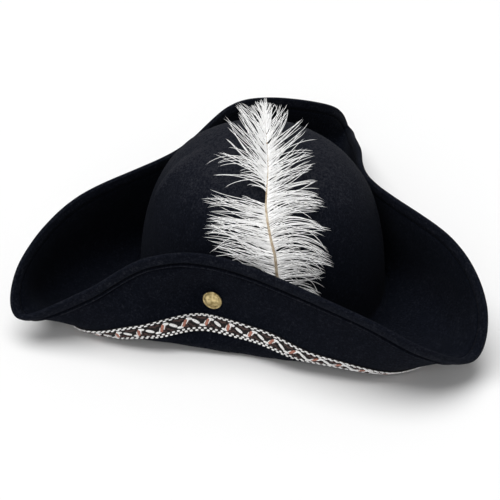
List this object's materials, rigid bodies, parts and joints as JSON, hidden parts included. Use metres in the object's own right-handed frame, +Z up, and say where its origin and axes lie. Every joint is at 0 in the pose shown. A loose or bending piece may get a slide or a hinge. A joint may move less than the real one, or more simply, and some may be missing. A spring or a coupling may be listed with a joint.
{
  "type": "tricorn hat",
  "caption": "Felt tricorn hat with a rounded crown, a brim turned up on three sides, woven trim under the brim, brass studs and an ostrich plume.",
  "frame": {"origin": "middle of the bottom of the hat's box, on the surface that the brim's roll rests on", "axes": "+Z up, towards the crown's top; -Y towards the front point of the brim; +X towards the wearer's left"},
  "size_m": [0.3716, 0.3046, 0.1518],
  "materials": {
    "black_felt": "matt wool felt with a short nap",
    "woven_braid": "woven trim, white zigzag on a dark brown ground",
    "aged_brass": "aged, softly polished",
    "white_feather": "loose white ostrich barbs"
  },
  "bodies": {
    "root": {"felt_body": "black_felt", "braid_trim": "woven_braid", "stud_left": "aged_brass", "stud_rear": "aged_brass", "stud_right": "aged_brass", "ostrich_plume": "white_feather"}
  },
  "joints": []
}
